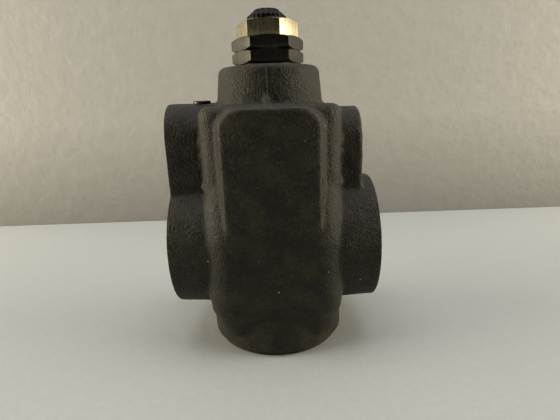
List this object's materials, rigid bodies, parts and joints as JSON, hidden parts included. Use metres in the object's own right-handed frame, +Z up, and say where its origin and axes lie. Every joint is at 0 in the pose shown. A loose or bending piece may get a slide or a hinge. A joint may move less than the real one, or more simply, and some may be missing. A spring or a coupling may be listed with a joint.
{
  "type": "flow control valve",
  "caption": "In-line flow control valve: cast barrel body, two round side port bosses with upper lobes, and a capped hex adjusting screw with lock nuts on a neck.",
  "frame": {"origin": "centre of the ground foot ring, on the face that the valve stands on", "axes": "+Z up the spool bore towards the adjusting screw; -X towards the inlet port, +X towards the outlet port"},
  "size_m": [0.1, 0.0744, 0.1639],
  "materials": {
    "cast_iron_body": "rough sand-cast iron, oiled and darkened",
    "black_steel": "black-oxide steel",
    "zinc_yellow": "yellow-passivated zinc plate",
    "black_plastic": "moulded nylon",
    "bright_steel": "ground and hardened steel",
    "spring_steel": "oil-tempered wire",
    "seal_rubber": "nitrile rubber",
    "seal_copper": "annealed copper",
    "ptfe": "PTFE"
  },
  "bodies": {
    "body": {"valve_body": "cast_iron_body", "bottom_plug": "black_steel", "bottom_plug_seal": "seal_rubber", "spring_shim": "bright_steel", "retaining_ring": "spring_steel", "metering_sleeve": "bright_steel", "sleeve_seal_lower": "seal_rubber", "sleeve_seal_upper": "seal_rubber", "compensator_spring": "spring_steel", "damping_orifice": "bright_steel", "throttle_spring": "spring_steel", "neck_washer": "black_steel", "lower_lock_nut": "black_steel", "upper_lock_nut": "black_steel", "gallery_plug": "black_steel", "inlet_gauge_plug": "black_steel", "inlet_gauge_washer": "seal_copper", "outlet_gauge_plug": "black_steel", "outlet_gauge_washer": "seal_copper"},
    "compensator": {"compensator_spool": "bright_steel"},
    "throttle": {"throttle_spool": "bright_steel", "spring_collar": "bright_steel", "collar_clip": "spring_steel", "thrust_ball": "bright_steel"},
    "adjuster": {"adjusting_screw": "zinc_yellow", "screw_seal": "seal_rubber", "screw_backup_ring": "ptfe", "adjuster_cap": "black_plastic"}
  },
  "joints": [
    {"name": "compensator_slide", "type": "slide", "parent": "body", "child": "compensator", "axis": [0, 0, 1], "range_m": [-0.005, 0], "stiffness_N_per_m": 4000, "springref_m": 0.0015, "deforming": ["compensator_spring"]},
    {"name": "throttle_lift", "type": "slide", "parent": "body", "child": "throttle", "axis": [0, 0, 1], "range_m": [0, 0.006], "deforming": ["throttle_spring"]},
    {"name": "adjuster_turn", "type": "hinge", "parent": "throttle", "child": "adjuster", "pos_m": [0, 0, 0.145], "axis": [0, 0, 1], "range_deg": [0, 1440]}
  ],
  "couplings": [
    {"joint": "adjuster_turn", "follows": "throttle_lift", "rad_per_m": 4188.8}
  ]
}
